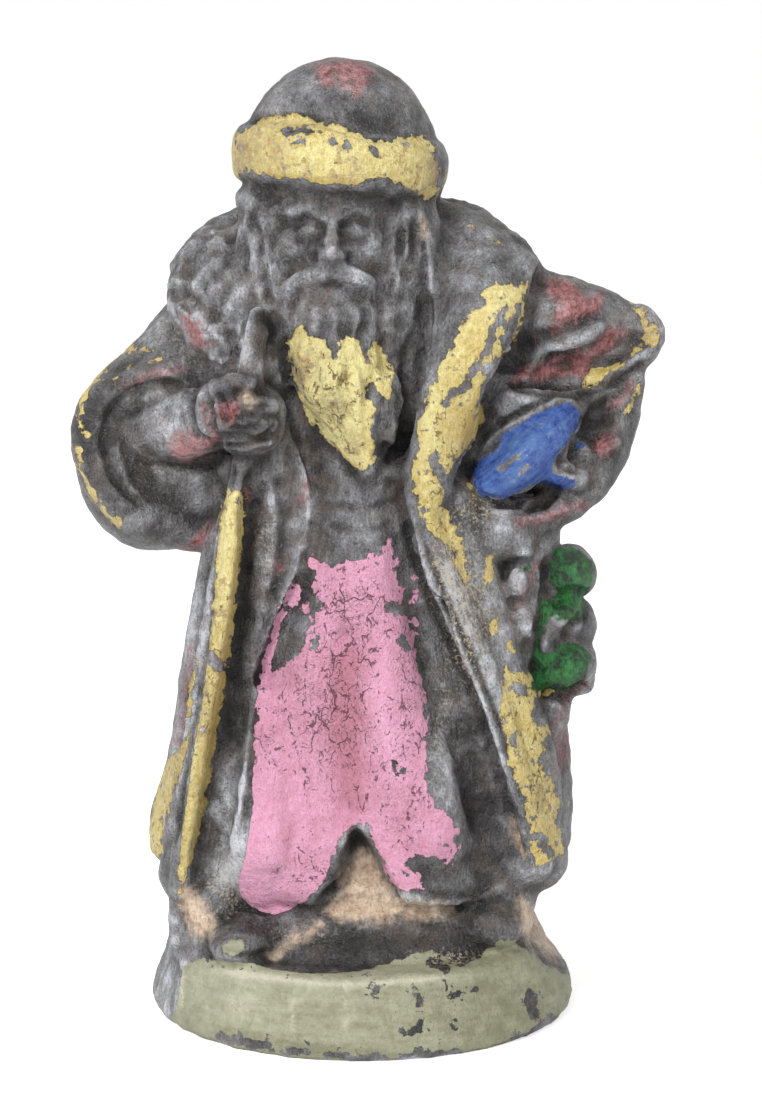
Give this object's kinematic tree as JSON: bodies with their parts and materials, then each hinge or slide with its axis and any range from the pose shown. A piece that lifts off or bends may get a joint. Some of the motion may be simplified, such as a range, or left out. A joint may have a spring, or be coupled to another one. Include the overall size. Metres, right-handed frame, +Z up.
{
  "type": "santa claus figurine",
  "caption": "Old cast figurine of Father Christmas in a long open coat, one finger raised and one hand on the hip, standing on a low round plinth.",
  "frame": {"origin": "middle of the plinth's flat underside", "axes": "+Z up, the figure faces -Y, its mitten and little tree are on +X"},
  "size_m": [0.0735, 0.0539, 0.1199],
  "materials": {
    "worn_paint": "old cold paint in yellow, pink, blue, green, red and olive, worn through to a graphite grey body"
  },
  "bodies": {
    "root": {"santa_claus_figurine": "worn_paint"}
  },
  "joints": []
}
